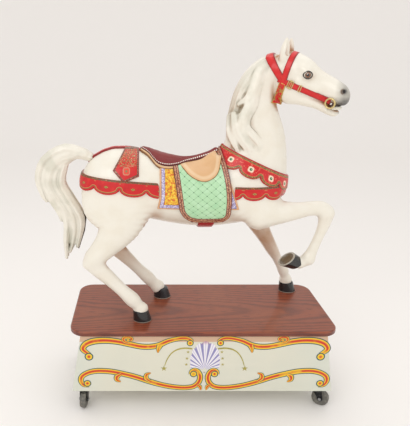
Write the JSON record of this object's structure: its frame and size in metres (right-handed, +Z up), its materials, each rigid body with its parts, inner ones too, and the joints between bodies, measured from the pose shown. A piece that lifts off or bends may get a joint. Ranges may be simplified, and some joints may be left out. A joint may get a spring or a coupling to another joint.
{
  "type": "carousel horse on a wheeled display stand",
  "caption": "Galloping fairground horse in carved and painted wood with saddle, cloths and scalloped bands, on an oak-topped cream box stand with swivel casters.",
  "frame": {"origin": "on the floor under the centre of the whole object's box", "axes": "+Z up, +X towards the end that the horse's nose points to, +Y towards the horse's left side, away from the decorated front panel"},
  "size_m": [1.3066, 0.47, 1.5856],
  "materials": {
    "carved_body": "gloss enamel paint, ivory white with airbrushed brown shading; saddlery in red, green, tan and maroon",
    "carved_tail": "gloss enamel paint, ivory with grey-green and brown streaks",
    "stay_iron": "worn black paint",
    "board_oak": "red-brown stain under satin varnish",
    "box_paint": "satin cream paint with painted scrolls",
    "caster_black": "black enamel",
    "axle_steel": "zinc plated",
    "wheel_rubber": "matt, worn grey tread"
  },
  "bodies": {
    "stand_with_horse": {"horse": "carved_body", "tail": "carved_tail", "tail_stay": "stay_iron", "platform_board": "board_oak", "box_front": "box_paint", "box_back": "box_paint", "box_left_end": "box_paint", "box_right_end": "box_paint", "box_bottom": "box_paint", "caster_fl_plate": "caster_black", "caster_fr_plate": "caster_black", "caster_bl_plate": "caster_black", "caster_br_plate": "caster_black"},
    "swivel_fl": {"caster_fl_fork": "caster_black", "caster_fl_axle": "axle_steel"},
    "wheel_fl": {"caster_fl_wheel": "wheel_rubber"},
    "swivel_fr": {"caster_fr_fork": "caster_black", "caster_fr_axle": "axle_steel"},
    "wheel_fr": {"caster_fr_wheel": "wheel_rubber"},
    "swivel_bl": {"caster_bl_fork": "caster_black", "caster_bl_axle": "axle_steel"},
    "wheel_bl": {"caster_bl_wheel": "wheel_rubber"},
    "swivel_br": {"caster_br_fork": "caster_black", "caster_br_axle": "axle_steel"},
    "wheel_br": {"caster_br_wheel": "wheel_rubber"}
  },
  "joints": [
    {"name": "swivel_fl_turn", "type": "hinge", "parent": "stand_with_horse", "child": "swivel_fl", "pos_m": [-0.45119, -0.168, 0.09], "axis": [0, 0, 1], "continuous": true},
    {"name": "wheel_fl_roll", "type": "hinge", "parent": "swivel_fl", "child": "wheel_fl", "pos_m": [-0.45481, -0.19375, 0.0375], "axis": [0.9903, -0.1392, 0], "continuous": true},
    {"name": "swivel_fr_turn", "type": "hinge", "parent": "stand_with_horse", "child": "swivel_fr", "pos_m": [0.59281, -0.168, 0.09], "axis": [0, 0, 1], "continuous": true},
    {"name": "wheel_fr_roll", "type": "hinge", "parent": "swivel_fr", "child": "wheel_fr", "pos_m": [0.61577, -0.18021, 0.0375], "axis": [0.4695, 0.8829, 0], "continuous": true},
    {"name": "swivel_bl_turn", "type": "hinge", "parent": "stand_with_horse", "child": "swivel_bl", "pos_m": [-0.45119, 0.168, 0.09], "axis": [0, 0, 1], "continuous": true},
    {"name": "wheel_bl_roll", "type": "hinge", "parent": "swivel_bl", "child": "wheel_bl", "pos_m": [-0.46008, 0.19243, 0.0375], "axis": [-0.9397, -0.342, 0], "continuous": true},
    {"name": "swivel_br_turn", "type": "hinge", "parent": "stand_with_horse", "child": "swivel_br", "pos_m": [0.59281, 0.168, 0.09], "axis": [0, 0, 1], "continuous": true},
    {"name": "wheel_br_roll", "type": "hinge", "parent": "swivel_br", "child": "wheel_br", "pos_m": [0.56925, 0.15701, 0.0375], "axis": [0.4226, -0.9063, 0], "continuous": true}
  ]
}
